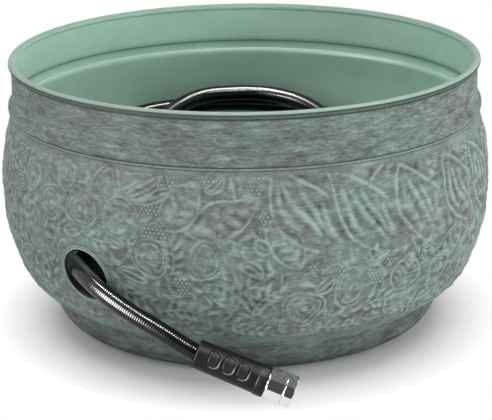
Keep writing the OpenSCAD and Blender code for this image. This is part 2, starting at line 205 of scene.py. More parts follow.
def tube(p, radii):
    """Vertices and quads of an open tube along points that are nowhere over each other."""
    t = np.gradient(p, axis=0)
    t /= np.linalg.norm(t, axis=1, keepdims=True)
    side = np.cross([0, 0, 1], t)
    side /= np.linalg.norm(side, axis=1, keepdims=True)
    ring = spokes(HOSE_SIDES, side[:, None], np.cross(t, side)[:, None])
    verts = p[:, None] + ring * radii[:, None, None]
    return verts.reshape(-1, 3), tube_quads(len(p), HOSE_SIDES)[:, ::-1]


def hose_line():
    """The hose's centreline in three stretches, from its inner end to the swivel coupling's tailpiece."""
    coil_out = Vector((-math.sin(COIL_START_AZ), math.cos(COIL_START_AZ), 0))
    coil = [coil_point(i / TURN_POINTS) for i in range(TURN_POINTS * COIL_TURNS + 1)]
    coil_start, coil_end = coil[0] + HOSE_D * coil_out, coil[-1] - HOSE_D * coil_out
    port = Vector(port_frame()[0])
    lead = [around(p, 0) for p in LEAD_INSIDE] + [port + Vector(p) * MM for p in LEAD_OUTSIDE]
    grip_back = OUTLET - (NUT_LEN + GRIP_LEN) * OUTLET_DIR
    hose_end = OUTLET - (NUT_LEN + SHANK_LEN) * OUTLET_DIR
    loops = [around(p, COIL_TOP) for p in LOOPS_ROUTE]
    inner = [INNER_END - (FERRULE_LEN + 4 * MM) * INNER_DIR, INNER_END, INNER_END + STEER * INNER_DIR]
    top = curve([coil_end + STEER * coil_out, coil_end] + loops + inner, 10)
    out = curve([coil_start - STEER * coil_out, coil_start] + lead
                + [grip_back, grip_back + 25 * MM * OUTLET_DIR], 12)
    return top[::-1], coil[::-1], out + [hose_end]


def make_hose(material):
    """One mesh tube for the whole hose, finely ribbed where it shows and plain in the coil."""
    top, coil, out = hose_line()
    top, coil, out = resample(top, RIB_STEP), resample(coil, COIL_STEP)[1:-1], resample(out, RIB_STEP)
    line = np.concatenate([top, coil, out])
    ribbed = np.concatenate([np.ones(len(top)), np.zeros(len(coil)), np.ones(len(out))])
    s = distances(line)
    radii = HOSE_R - ribbed * RIB_DEPTH * (0.5 - 0.5 * np.cos(2 * math.pi * s / RIB_PITCH))
    verts, quads = tube(line, radii)
    n = len(verts)
    k = np.arange(HOSE_SIDES)
    ahead = (k + 1) % HOSE_SIDES
    inner_cap = np.stack([k, ahead, np.full(HOSE_SIDES, n)], -1)
    outer_cap = np.stack([n - HOSE_SIDES + ahead, n - HOSE_SIDES + k, np.full(HOSE_SIDES, n + 1)], -1)
    along = np.concatenate([np.repeat(s, HOSE_SIDES), [0, s[-1]]])
    obj = new_mesh("hose", np.concatenate([verts, line[[0, -1]]]), quads, {"along": along}, [material],
                   tris=np.concatenate([inner_cap, outer_cap]))
    return obj, resample(line, PATH_STEP), float(s[-1])


# ---- shader nodes


def srgb(r, g, b):
    """A colour written as it looks, in 0-255, for a shader socket."""
    def lin(c):
        c /= 255
        return c / 12.92 if c <= 0.04045 else ((c + 0.055) / 1.055) ** 2.4
    return (lin(r), lin(g), lin(b), 1)


class Nodes:
    """A short way to write the shader nodes of a material or the world."""

    def __init__(self, owner):
        owner.use_nodes = True
        self.tree = owner.node_tree
        self.tree.nodes.clear()

    def put(self, socket, value):
        """Links an output to a socket, or sets the socket to a value."""
        if hasattr(value, "is_output"):
            self.tree.links.new(value, socket)
        elif value is not None:
            socket.default_value = value

    def node(self, kind, inputs=(), **props):
        n = self.tree.nodes.new("ShaderNode" + kind)
        for key, value in props.items():
            setattr(n, key, value)
        for key, value in dict(inputs).items():
            self.put(n.inputs[key], value)
        return n

    def math(self, op, *values):
        return self.node("Math", dict(enumerate(values)), operation=op).outputs[0]

    def vector(self, op, *values):
        return self.node("VectorMath", dict(enumerate(values)), operation=op).outputs

    def dot(self, a, b):
        return self.vector("DOT_PRODUCT", a, b)["Value"]

    def coords(self):
        """A point's place on its object, in metres."""
        return self.node("TexCoord").outputs["Object"]

    def height(self):
        """A point's height in millimetres."""
        return self.math("MULTIPLY", self.node("SeparateXYZ", {0: self.coords()}).outputs[2], 1000)

    def noise(self, scale, detail=4.0, rough=0.55, distortion=0.0, shift=(0, 0, 0)):
        place = self.node("Mapping", {"Vector": self.coords(), "Scale": scale, "Location": shift}).outputs[0]
        return self.node("TexNoise", {"Vector": place, "Scale": 1.0, "Detail": detail, "Roughness": rough,
                                      "Distortion": distortion}).outputs["Fac"]

    def span(self, value, low, high, to_low=0.0, to_high=1.0, shape="LINEAR"):
        """value from low..high to to_low..to_high, held at the ends."""
        return self.node("MapRange", {"Value": value, "From Min": low, "From Max": high, "To Min": to_low,
                                      "To Max": to_high}, clamp=True, interpolation_type=shape).outputs[0]

    def line(self, value, centre, half, most=1.0):
        """most where value is within half of centre, softly 0 outside it."""
        away = self.math("ABSOLUTE", self.math("SUBTRACT", value, centre))
        return self.span(away, half * 0.6, half * 1.3, most, 0.0)

    def mix(self, fac, a, b):
        return self.node("Mix", {0: fac, 6: a, 7: b}, data_type="RGBA").outputs[2]

    def attribute(self, name):
        return self.node("Attribute", attribute_name=name).outputs["Fac"]

    def bump(self, height, distance, strength=1.0, normal=None):
        return self.node("Bump", {"Height": height, "Distance": distance, "Strength": strength,
                                  "Normal": normal}).outputs[0]


class Shader(Nodes):
    """A material with one Principled surface."""

    def __init__(self, name):
        self.mat = bpy.data.materials.new(name)
        super().__init__(self.mat)
        self.bsdf = self.node("BsdfPrincipled")
        self.node("OutputMaterial", {0: self.bsdf.outputs[0]})

    def set(self, **values):
        for key, value in values.items():
            self.put(self.bsdf.inputs[key.replace("_", " ")], value)
        return self.mat


# ---- materials

MINT = srgb(158, 188, 171)
PALE = srgb(151, 169, 160)
GREEN = srgb(119, 139, 130)
MAUVE = srgb(124, 125, 127)
DARK = srgb(66, 74, 72)
# Painted shade, mottled over the foot under the belly's overhang
FOOT_SHADE = srgb(72, 75, 74)
# The roll's green paint, darker as painted shade, and painted shade in the crease at its foot and across it
ROLL, ROLL_SHADE = srgb(92, 112, 102), srgb(56, 62, 60)
# Painted highlight on the rim's crest, and painted shade in the crease inside the band
RIM_HIGHLIGHT, CREASE_SHADE = srgb(142, 162, 150), srgb(78, 108, 93)
# Painted shadow at the foot's bottom, and painted shade on the pan's floor inside
GROUND_SHADOW, PAN_SHADE = srgb(40, 42, 42), srgb(22, 28, 25)
# Painted shade in the port ring's gap and barrel
GAP_SHADE = srgb(16, 17, 16)
# How much lighter than the plain mint the paint is in the neck band and in the belly, in 0-255, as painted
# light
BAND_LIFT, INSIDE_LIFT = 27, 44
# The neck band in millimetres: its hem over the seam, the crease inside, the roll's foot and the rim's crest
HEM_H, CREASE_Z, ROLL_LOW, RIM_LINE = 2.6, 223.0, 256.6, 261.6


def inside_colour(s, lift=0):
    """Sprayed mint paint with the faintest mottling, made lighter by lift as painted light."""
    mottle = s.noise((16, 16, 22), 4, 0.6)
    low, high = srgb(148 + lift, 184 + lift, 166 + lift), srgb(158 + lift, 194 + lift, 176 + lift)
    return s.mix(s.span(mottle, 0.35, 0.65), low, high)


def layer(s, value, low, high, share, under):
    """under, plus share times a value that counts as -0.5 at low and 0.5 at high."""
    return s.math("MULTIPLY_ADD", s.span(value, low, high, -0.5, 0.5), share, under)


def patina(name, relief=False, darker=0.0, scratches=1.0, level=1.04):
    """Green paint dry-brushed round the pot over mauve metal, with painted light and shade on the relief."""
    s = Shader(name)
    fine = s.noise((170, 170, 820), 4, 0.75)
    stroke = s.noise((60, 60, 330), 5, 0.68, 0.5)
    smear = s.noise((40, 40, 120), 4, 0.64, 0.9, (5, 2, 1))
    blotch = s.noise((22, 22, 44), 4, 0.62, 1.0, (3, 1, 2))
    tone = s.noise((11, 11, 26), 4, 0.6, 0.8, (1, 7, 4))
    fleck = s.noise((360, 360, 760), 3, 0.65, 0.4)
    light = layer(s, fine, 0.25, 0.75, 0.6 * scratches, 0.0)
    light = layer(s, stroke, 0.25, 0.75, 0.5 * scratches, light)
    light = layer(s, smear, 0.3, 0.7, 0.44, light)
    light = layer(s, blotch, 0.3, 0.7, 0.34, light)
    hue = layer(s, blotch, 0.35, 0.65, 0.7, s.span(tone, 0.34, 0.58, 0.28, 0.82))
    hue = layer(s, smear, 0.3, 0.7, 0.4, hue)
    if relief:
        # The relief attribute paints light on the ridges and shade beside them
        light = layer(s, s.attribute("relief"), 0.2, 0.85, 0.88, light)
    base = s.mix(s.span(hue, 0.0, 1.0), MAUVE, GREEN)
    base = s.node("VectorMath", {0: base, "Scale": s.math("ADD", light, level)}, operation="SCALE").outputs[0]
    base = s.mix(s.span(light, 0.2, 0.7, 0.0, 0.65), base, PALE)
    base = s.mix(s.span(fleck, 0.3, 0.42, 0.3 + 0.25 * scratches, 0.0), base, DARK)
    # Mottled painted shade; darker sets how much of it is mixed in
    if darker:
        base = s.mix(s.span(smear, 0.35, 0.65, darker + 0.25, darker - 0.25), base, FOOT_SHADE)
    grain = s.math("MULTIPLY_ADD", fine, 0.7, s.math("MULTIPLY", fleck, 0.5))
    s.set(Roughness=s.span(light, -0.4, 0.4, 0.66, 0.56), Metallic=0.0, Specular_IOR_Level=0.08,
          Normal=s.bump(grain, 0.0004, 0.7))
    return s, base


def inside_or_out(s, inside, outside):
    """One colour where a surface faces the pot's axis, and another where it faces away."""
    away = s.vector("NORMALIZE", s.vector("MULTIPLY", s.coords(), (1, 1, 0))[0])[0]
    facing = s.dot(away, s.node("NewGeometry").outputs["Normal"])
    return s.mix(s.span(facing, -0.1, 0.35), inside, outside)


def relief_material():
    """The belly's outside."""
    s, base = patina("patina relief", relief=True)
    return s.set(Base_Color=base)


def band_material():
    """The neck band: scratched patina with painted shade in its creases outside, mint inside and on the rim's
    crest as a painted highlight.
    """
    s, base = patina("patina neck", scratches=1.4, level=0.85)
    height, seam = s.height(), SEAM_Z / MM
    # Painted shade in the creases above and below the hem, and a painted highlight on its face
    base = s.mix(s.line(height, seam + HEM_H + 0.5, 0.9), base, DARK)
    base = s.mix(s.line(height, seam + 1.4, 1.3, 0.4), base, PALE)
    base = s.mix(s.line(height, seam, 0.7), base, DARK)
    # The roll is green paint darkened as painted shade, with painted shade lines at its foot and across it
    base = s.mix(s.span(height, ROLL_LOW + 1.6, ROLL_LOW + 2.4), base, ROLL)
    base = s.mix(s.line(height, ROLL_LOW + 0.4, 1.3, 0.85), base, ROLL_SHADE)
    base = s.mix(s.line(height, ROLL_LOW + 4.3, 0.75, 0.85), base, ROLL_SHADE)
    mint = inside_colour(s, BAND_LIFT)
    # Painted shade along the crease inside the band
    mint = s.mix(s.line(height, CREASE_Z, 0.9, 0.6), mint, CREASE_SHADE)
    base = inside_or_out(s, mint, base)
    # The rim's crest is the inside's mint paint, toned greyer as a painted highlight
    crest = s.span(height, RIM_LINE, RIM_LINE + 0.5)
    return s.set(Base_Color=s.mix(crest, base, s.mix(0.75, mint, RIM_HIGHLIGHT)))


def foot_material():
    """The foot pan: patina with mottled painted shade, painted shadow near the ground, and painted shade on
    its floor.
    """
    s, base = patina("patina foot", darker=0.66)
    # Painted shadow where the foot meets the ground
    base = s.mix(s.span(s.height(), 0, 14, 0.8, 0.0), base, GROUND_SHADOW)
    upward = s.node("SeparateXYZ", {0: s.node("NewGeometry").outputs["Normal"]}).outputs[2]
    # The upward faces inside are the mint paint, made nearly black as painted shade
    within = s.mix(0.92, inside_colour(s), PAN_SHADE)
    return s.set(Base_Color=s.mix(s.span(upward, 0.4, 0.7), base, within))


def inside_material():
    """The belly's inside."""
    s = Shader("mint paint")
    return s.set(Base_Color=inside_colour(s, INSIDE_LIFT), Roughness=0.42, Specular_IOR_Level=0.3,
                 Normal=s.bump(s.noise((300, 300, 300), 2), 0.00008, 0.5))


def eyelet_material():
    """The port's ring: painted shade in its gap and barrel, and mint on its rolls as a painted highlight."""
    s, base = patina("patina ring", relief=True)
    painted_ring_light = s.attribute("relief")
    # Painted shade in the gap and barrel, and a painted highlight on the rolls
    base = s.mix(s.span(painted_ring_light, 0.12, 0.3, 1.0, 0.0), base, GAP_SHADE)
    return s.set(Base_Color=s.mix(s.span(painted_ring_light, 0.6, 0.8, 0.0, 0.7), base, MINT))


def hose_material():
    """Glossy ribbed rubber, its shine dimmed as painted shade in the ribs' grooves and deep in the pot."""
    s = Shader("hose rubber")
    ribs = s.math("COSINE", s.math("MULTIPLY", s.attribute("along"), 2 * math.pi / RIB_PITCH))
    dust = s.noise((70, 70, 70), 4)
    x, y, z = s.node("SeparateXYZ", {0: s.coords()}).outputs
    reach = s.math("SQRT", s.math("MULTIPLY_ADD", x, x, s.math("MULTIPLY", y, y)))
    # Painted shade: the shine is cut deep in the pot and in the ribs' grooves
    out_of_shade = s.math("MAXIMUM", s.span(reach, 0.2, 0.222), s.span(z, 0.12, 0.15))
    shine = s.math("MULTIPLY", s.span(out_of_shade, 0, 1, 0.06, 0.5), s.span(ribs, -0.5, 0.3, 0.2, 1.0))
    return s.set(Base_Color=s.mix(s.span(dust, 0.4, 0.7), srgb(6, 6, 6), srgb(15, 13, 12)),
                 Roughness=s.span(dust, 0.3, 0.7, 0.16, 0.26), Specular_IOR_Level=shine,
                 Normal=s.bump(ribs, 0.0001, 0.3))


def sleeve_material():
    """Dull rubber, a shade bluer inside the oval rings, with painted shade in their groove and a painted
    glint on their edge.
    """
    s = Shader("sleeve rubber")
    grain = s.noise((900, 900, 900), 3)
    ring = s.attribute("ring")
    base = s.mix(s.span(grain, 0.35, 0.65), srgb(7, 7, 9), srgb(13, 13, 15))
    base = s.mix(s.span(ring, 0.55, 0.7, 1.0, 0.0), base, srgb(28, 27, 37))
    # Painted shade in each ring's groove, and a painted glint on its lower edge
    base = s.mix(s.line(ring, 0.88, 0.15), base, srgb(4, 4, 5))
    return s.set(Base_Color=s.mix(s.attribute("glint"), base, srgb(150, 150, 153)), Specular_IOR_Level=0.2,
                 Roughness=s.span(grain, 0.3, 0.7, 0.4, 0.5), Normal=s.bump(grain, 0.00003, 0.4))


def chrome_material():
    """Bright plating with softened edges."""
    s = Shader("chrome")
    grain = s.noise((400, 400, 400), 3)
    soft_edge = s.node("Bevel", {"Radius": 0.0005}, samples=4).outputs[0]
    return s.set(Base_Color=srgb(226, 226, 230), Metallic=1.0, Roughness=s.span(grain, 0.3, 0.7, 0.05, 0.12),
                 Normal=s.bump(grain, 0.00003, 0.35, soft_edge))


def washer_material():
    """Plain dark rubber."""
    s = Shader("washer rubber")
    return s.set(Base_Color=srgb(34, 32, 32), Roughness=0.6,
                 Normal=s.bump(s.noise((800, 800, 800)), 0.00005, 0.5))


# ---- pot profile

# The belly's profile is three tangent arcs: from the seam to the girth, on to the heel, and into the cuff.
# BELLY_R, SEAM_R and FOOT_R are distances from the pot's axis, and UPPER_R, LOWER_R and HEEL_R the arcs'
# own radii. UPPER_A, LOWER_A and HEEL_A are the angles over the level at which the arcs end.
BELLY_R, BELLY_Z = 240 * MM, 139 * MM
SEAM_R = 229.8 * MM
UPPER_R = ((BELLY_R - SEAM_R) ** 2 + (SEAM_Z - BELLY_Z) ** 2) / (2 * (BELLY_R - SEAM_R))
UPPER_A = math.asin((SEAM_Z - BELLY_Z) / UPPER_R)
LOWER_R, HEEL_Z = 180 * MM, 60 * MM
LOWER_A = -math.asin((BELLY_Z - HEEL_Z) / LOWER_R)
FOOT_R, FOOT_H, CUFF_Z = 191.5 * MM, 31 * MM, 33 * MM
PORT_R, PORT_AZ, PORT_Z = 27.6 * MM, math.radians(231), 99 * MM

HEEL_OUT = Vector((math.cos(LOWER_A), math.sin(LOWER_A)))
HEEL_AT = Vector((BELLY_R - LOWER_R, BELLY_Z)) + LOWER_R * HEEL_OUT
CUFF_AT = Vector((FOOT_R, CUFF_Z))
HEEL_R = (HEEL_AT - CUFF_AT).length_squared / (2 * HEEL_OUT.dot(HEEL_AT - CUFF_AT))
HEEL_C = HEEL_AT - HEEL_R * HEEL_OUT
HEEL_A = -math.acos((FOOT_R - HEEL_C.x) / HEEL_R)
ARCS = [((BELLY_R - UPPER_R, BELLY_Z), UPPER_R, UPPER_A, 0.0),
        ((BELLY_R - LOWER_R, BELLY_Z), LOWER_R, 0.0, LOWER_A),
        ((HEEL_C.x, HEEL_C.y), HEEL_R, LOWER_A, HEEL_A)]
ARC_LENGTHS = [r * (a0 - a1) for _, r, a0, a1 in ARCS]
PROFILE_LENGTH = sum(ARC_LENGTHS)
# How far down the profile the port's centre lies
PORT_V = ARC_LENGTHS[0] + LOWER_R * math.asin((BELLY_Z - PORT_Z) / LOWER_R)


def profile(v):
    """Radius, height and outward normal at distances v down the belly's profile from the seam."""
    v = np.asarray(v, float)
    out = np.zeros((len(v), 4))
    start = 0.0
    for (cx, cz), r, a0, a1 in ARCS:
        here = (v >= start - 1e-9) & (v <= start + r * (a0 - a1) + 1e-9)
        a = a0 - (v[here] - start) / r
        out[here] = np.stack([cx + r * np.cos(a), cz + r * np.sin(a), np.cos(a), np.sin(a)], -1)
        start += r * (a0 - a1)
    return out


# ---- embossing

# Points round the girth and down the profile; the girth's radius, length and half length in millimetres
COLS, ROWS = 1440, 188
GIRTH_R = round(BELLY_R / MM)
RING_MM = 2 * math.pi * GIRTH_R
HALF_MM = RING_MM / 2
# How much higher than wide a rose is
ROSE_TALL = 1.12
# The beads' distance in a row and between rows, and their radius
BEAD_PITCH, BEAD_ROWS, BEAD_R = 4.0, 3.464, 1.15
# How many strokes are tried on the open ground, between which y they start, and between which they end
GROUND_STROKES, STROKE_FROM, STROKE_TO = 5200, (6, 168), (5, 170)
# Where the field starts below the seam, ends over the heel and starts round the port, and its soft width
FADE_TOP, FADE_HEEL, FADE_PORT = (3, 5), (174, -14), (32, 6)
# How far the field is warped, in points
WARP = 1.6


class Relief:
    """Heights over the unrolled belly: x along its girth and y down from the seam, in millimetres."""

    def __init__(self):
        self.x = np.arange(COLS) * RING_MM / COLS
        self.y = np.linspace(0, PROFILE_LENGTH / MM, ROWS)
        self.h = np.zeros((ROWS, COLS))
        self.used = np.zeros((ROWS, COLS))

    def window(self, cx, cy, reach):
        """Index arrays and local x, y of the points near a centre, round the seam at x = 0."""
        dx = (self.x - cx + HALF_MM) % RING_MM - HALF_MM
        j = np.where(np.abs(dx) < reach)[0]
        i = np.where(np.abs(self.y - cy) < reach)[0]
        x, y = np.meshgrid(dx[j], self.y[i] - cy)
        return np.ix_(i, j), x, y

    def raise_to(self, at, h, claim):
        """Raises a window to heights h where it is lower, and marks its ground as used."""
        self.h[at] = np.maximum(self.h[at], h)
        self.used[at] = np.maximum(self.used[at], claim)

    def stroke(self, points, width, height, taper=0.6):
        """A raised line along points, as wide as width in its middle and thinner towards its ends."""
        p = np.array(points, float)
        c = p.mean(0)
        at, x, y = self.window(c[0], c[1], np.abs(p - c).max() + width)
        best, along = np.full(x.shape, 1e9), np.zeros(x.shape)
        n = len(p) - 1
        for k, ((ax, ay), (bx, by)) in enumerate(zip(p - c, p[1:] - c)):
            dx, dy = bx - ax, by - ay
            u = np.clip(((x - ax) * dx + (y - ay) * dy) / max(dx * dx + dy * dy, 1e-9), 0, 1)
            d = np.hypot(x - ax - u * dx, y - ay - u * dy)
            near = d < best
            best, along = np.where(near, d, best), np.where(near, (k + u) / n, along)
        swell = np.sin(math.pi * (0.06 + 0.88 * along)) ** taper
        w = 0.62 * width * (0.35 + 0.65 * swell)
        self.raise_to(at, height * swell * np.exp(-(best / w) ** 2), best < width * 0.6)

    def swell(self, cx, cy, rx, ry, height, turn=0.0):
        """A low dome."""
        at, x, y = self.window(cx, cy, max(rx, ry) * 1.2)
        a, b = x * math.cos(turn) + y * math.sin(turn), y * math.cos(turn) - x * math.sin(turn)
        self.h[at] += height * np.clip(1 - (a / rx) ** 2 - (b / ry) ** 2, 0, 1) ** 0.7


def bow(x0, y0, x1, y1, bend, n=12):
    """Points on a curve between two places, its middle bend to one side."""
    u = np.linspace(0, 1, n)
    dx, dy = x1 - x0, y1 - y0
    size = math.hypot(dx, dy)
    k = 4 * u * (1 - u) * bend / size
    return np.stack([x0 + dx * u - dy * k, y0 + dy * u + dx * k], -1)


def rose(f, cx, cy, r, spin):
    """An open rose: a thin broken outer ring, petals that lap inside it and a small heart."""
    tall = r * ROSE_TALL

    def arc(radius, a0, a1, width, height, ox=0.0, oy=0.0):
        a = np.linspace(a0, a1, 20)
        wave = 1 + 0.06 * np.sin(3 * a + spin)
        f.stroke(np.stack([cx + ox * r + radius * r * wave * np.cos(a),
                           cy + oy * r + radius * tall * wave * np.sin(a)], -1), width, height, 0.3)
    f.swell(cx, cy, r, tall, 0.22)
    at, x, y = f.window(cx, cy, r * 1.4)
    f.raise_to(at, 0.0, np.hypot(x, y / ROSE_TALL) < r * 1.05)
    arc(1.0, spin, spin + 5.4, 1.9, 0.8)
    for k in range(3):
        a = spin + 2.1 * k + 0.5
        arc(0.62, a - 1.0, a + 1.25, 1.8, 0.75, 0.16 * math.cos(a), 0.16 * math.sin(a))
        arc(0.34, a + 0.2, a + 2.0, 1.8, 0.7, 0.1 * math.cos(a), 0.1 * math.sin(a))
        f.stroke(bow(cx + 0.42 * r * math.cos(a + 1), cy + 0.42 * r * math.sin(a + 1),
                     cx + 0.85 * r * math.cos(a + 0.7), cy + 0.85 * tall * math.sin(a + 0.7), 0.08 * r),
                 2.2, 0.5)
    f.swell(cx, cy, 0.2 * r, 0.24 * r, 0.45)


LEAF_U = np.linspace(0, 1, 16)


class Leaf:
    """A leaf's midrib and its half width along that; a new leaf claims its ground on the field."""

    def __init__(self, f, x0, y0, x1, y1, width, bend):
        self.mid = bow(x0, y0, x1, y1, bend, len(LEAF_U))
        self.size = math.hypot(x1 - x0, y1 - y0)
        self.half = np.array([width / 2 * math.sin(math.pi * u ** 0.8) ** 0.75 for u in LEAF_U])
        self.across = np.array([y0 - y1, x1 - x0]) / self.size
        c, d = self.mid.mean(0), (self.mid[-1] - self.mid[0]) / self.size
        at, x, y = f.window(c[0], c[1], self.size * 0.6)
        a, b = x * d[0] + y * d[1], y * d[0] - x * d[1]
        f.raise_to(at, 0.0, (a / (self.size * 0.52)) ** 2 + (b / (width * 0.5)) ** 2 < 1)
        f.swell(c[0], c[1], self.size * 0.5, width * 0.48, 0.16, math.atan2(d[1], d[0]))

    def edge(self, side):
        """The line half the leaf's width off its midrib: one edge for side 1, the other for -1."""
        return self.mid + side * self.half[:, None] * self.across

    def at(self, u, share):
        """The place at u along the leaf, a share of its half width off its midrib."""
        w = share * np.interp(u, LEAF_U, self.half)
        return [np.interp(u, LEAF_U, self.mid[:, i]) + w * self.across[i] for i in (0, 1)]


# A long leaf's blades: how far from the tip to the stalk and across the leaf each starts and ends
LONG_BLADES = [(0.16, -0.08, 0.64, -0.66), (0.15, 0.36, 0.87, -0.26), (0.32, 0.64, 0.94, 0.18),
               (0.58, 0.72, 0.97, 0.56)]


def long_leaf(f, x0, y0, x1, y1, width, side, bend):
    """A broad leaf with bold staggered blades that run towards its stalk, all on one slant."""
    leaf = Leaf(f, x0, y0, x1, y1, width, bend)
    for u0, a0, u1, a1 in LONG_BLADES:
        p, q = leaf.at(1 - u0, a0 * side), leaf.at(1 - u1, a1 * side)
        f.stroke(bow(*p, *q, side * 0.05 * leaf.size), 6.6, 1.0, 0.8)
    for k in (-1, 1):
        f.stroke(leaf.edge(k)[2 if k * side < 0 else 6:], 3.0, 0.95, 0.3)


def rib_leaf(f, x0, y0, x1, y1, width, blades, bend):
    """A leaf whose blades slant out from its midrib in pairs."""
    leaf = Leaf(f, x0, y0, x1, y1, width, bend)
    for side in (-1, 1):
        for k in range(blades):
            u = (k + 0.4) / (blades + 0.4)
            reach = min(0.96, u + 0.26 * (1 - 0.5 * u))
            p, q = leaf.at(u, 0), leaf.at(reach, 0.84 * side)
            f.stroke(bow(*p, *q, -side * 0.07 * leaf.size), 0.62 * leaf.size / blades, 0.8, 0.7)
        f.stroke(leaf.edge(side), 1.9, 0.75, 0.2)
    f.stroke(leaf.mid, 2.2, 0.7, 0.4)


def small_leaf(f, x0, y0, x1, y1, width, bend):
    """A pointed leaf: its outline and midrib."""
    leaf = Leaf(f, x0, y0, x1, y1, width, bend)
    for side in (-1, 0, 1):
        f.stroke(leaf.edge(side), 1.8, 0.85, 0.25)


def sprig(f, x0, y0, x1, y1, bend, pairs, size):
    """A curved stem with pairs of small blades."""
    stem = bow(x0, y0, x1, y1, bend, 2 * pairs + 3)
    f.stroke(stem, 1.9, 0.7, 0.4)
    for k in range(1, 2 * pairs + 2):
        d = stem[min(k + 1, len(stem) - 1)] - stem[k - 1]
        turn = math.atan2(d[1], d[0]) + (0.85 if k % 2 else -0.85)
        s = size * (0.75 + 0.35 * math.sin(math.pi * k / (2 * pairs + 2)))
        x, y = stem[k]
        f.stroke(bow(x, y, x + s * math.cos(turn), y + s * math.sin(turn), s * (0.16 if k % 2 else -0.16)),
                 s * 0.28, 0.75, 0.7)


def dots(f, cx, cy, wide, high, angle):
    """A patch of fine beads on the ground between the leaves."""
    at, x, y = f.window(cx, cy, max(wide, high))
    a, b = x * math.cos(angle) + y * math.sin(angle), y * math.cos(angle) - x * math.sin(angle)
    edge = 0.25 * (1 + 0.3 * np.sin(3 * np.arctan2(b, a)))
    inside = ((a / wide) ** 2 + (b / high) ** 2 < edge) & (f.used[at] < 0.5)
    row = np.round(y / BEAD_ROWS)
    dx = x - (row % 2) * BEAD_PITCH / 2
    dx -= np.round(dx / BEAD_PITCH) * BEAD_PITCH
    dy = y - row * BEAD_ROWS
    bead = np.exp(-(dx ** 2 + dy ** 2) / BEAD_R ** 2)
    f.raise_to(at, np.where(inside, 1.3 * bead, 0), inside)


def in_dots(x, y):
    """Whether a place lies in a patch of beads."""
    for az, cy, wide, high, _ in DOTS:
        dx = (x - az_mm(az) + HALF_MM / 2) % HALF_MM - HALF_MM / 2
        if (2 * dx / wide) ** 2 + (2 * (y - cy) / high) ** 2 < 1:
            return True
    return False


def az_mm(degrees):
    """A direction seen from above as a distance round the girth, in millimetres."""
    return math.radians(degrees) * GIRTH_R


# The embossing's layout: directions (az) in degrees and all lengths in millimetres, y down from the seam
ROSES = [  # az, y, radius, turn of the petals
    (226.8, 19, 14.5, 0.4), (237.4, 22, 15.5, 2), (221, 48, 15, 3.6), (231.4, 47, 17, 5),
    (241.6, 47, 18, 1.1), (213.4, 30, 13.5, 2.7), (248.6, 83, 16.5, 4.1), (261, 84, 16, 0.2),
    (293.6, 117, 18, 0.9), (282.6, 134, 18.5, 3), (319.5, 122, 15.5, 1.9), (331.5, 112, 14, 3.4),
    (203, 62, 15, 5.2)]
LONG_LEAVES = [  # az, y of the stalk, az, y of the tip, width, side the blades start on, bend
    (290.6, 70, 275.4, 3, 52, 1, -6), (306, 78, 289.8, 4, 52, 1, -6), (320.6, 82, 305.6, 7, 48, 1, -6),
    (334.4, 84, 320.4, 9, 46, 1, -5), (347.6, 86, 334.8, 10, 44, 1, -5), (359, 80, 348.6, 10, 38, 1, -4),
    (187, 78, 197, 10, 44, -1, 4)]
RIB_LEAVES = [  # az, y of the stalk, az, y of the tip, width, pairs of blades, bend
    (257, 58, 272, 24, 34, 5, 6), (252.6, 56, 260.6, 12, 34, 5, -4), (281.5, 92, 274, 50, 26, 5, 3),
    (199, 100, 206, 62, 28, 5, -3), (306, 130, 309.4, 94, 36, 6, 3), (318.6, 104, 327.6, 86, 24, 4, 3),
    (338, 128, 346, 96, 30, 5, 3), (216, 86, 210.5, 56, 24, 4, 3), (268, 128, 260.6, 108, 20, 4, 2),
    (351, 132, 355, 98, 26, 5, -3)]
SMALL_LEAVES = [  # az, y of the stalk, az, y of the tip, width, bend
    (243.2, 28, 250.4, 6, 13, 2), (245.2, 33, 255, 19, 12, -2), (262, 22, 266, 6, 10, 1),
    (226, 72, 233, 66, 11, 1), (238, 66, 243, 72, 10, 1), (209, 22, 204, 8, 12, 2),
    (298, 96, 302.5, 84, 11, 1), (312.5, 92, 316.5, 86, 10, 1), (269, 82, 273.5, 96, 12, -2),
    (247.5, 106, 240.5, 98, 12, 2), (272, 64, 276, 74, 10, 1), (284, 112, 290, 98, 12, 2)]
SPRIGS = [  # az, y of the foot, az, y of the top, bend, pairs, blade length
    (253.2, 98, 253, 62, 4, 4, 13), (240, 108, 250, 132, 8, 4, 14), (250.5, 138, 262.5, 146, -7, 5, 13),
    (262, 120, 272.5, 100, 5, 4, 14), (266, 148, 277, 158, 6, 4, 12), (271, 140, 276.4, 112, -6, 4, 14),
    (286, 158, 300, 152, 8, 5, 13), (297, 142, 305, 140, -5, 3, 12), (284.6, 98, 288, 78, 4, 3, 12),
    (298.6, 100, 301, 82, -3, 3, 12), (309, 152, 324, 146, 8, 5, 13), (325, 136, 336, 144, -6, 4, 13),
    (341, 146, 354, 148, 7, 5, 13), (184, 140, 198, 146, -7, 5, 13), (186, 112, 195, 88, 6, 4, 13),
    (204, 128, 218, 132, 8, 5, 14), (222, 120, 232, 142, -7, 4, 13), (232, 72, 240, 70, 4, 3, 11),
    (196, 32, 208, 12, 5, 4, 12), (262.5, 66, 271, 70, -4, 3, 12), (311, 84, 316, 88, 3, 2, 11),
    (243.6, 150, 256, 158, 5, 4, 12), (214, 104, 206, 112, 4, 3, 12), (180, 36, 184, 66, 5, 4, 12)]
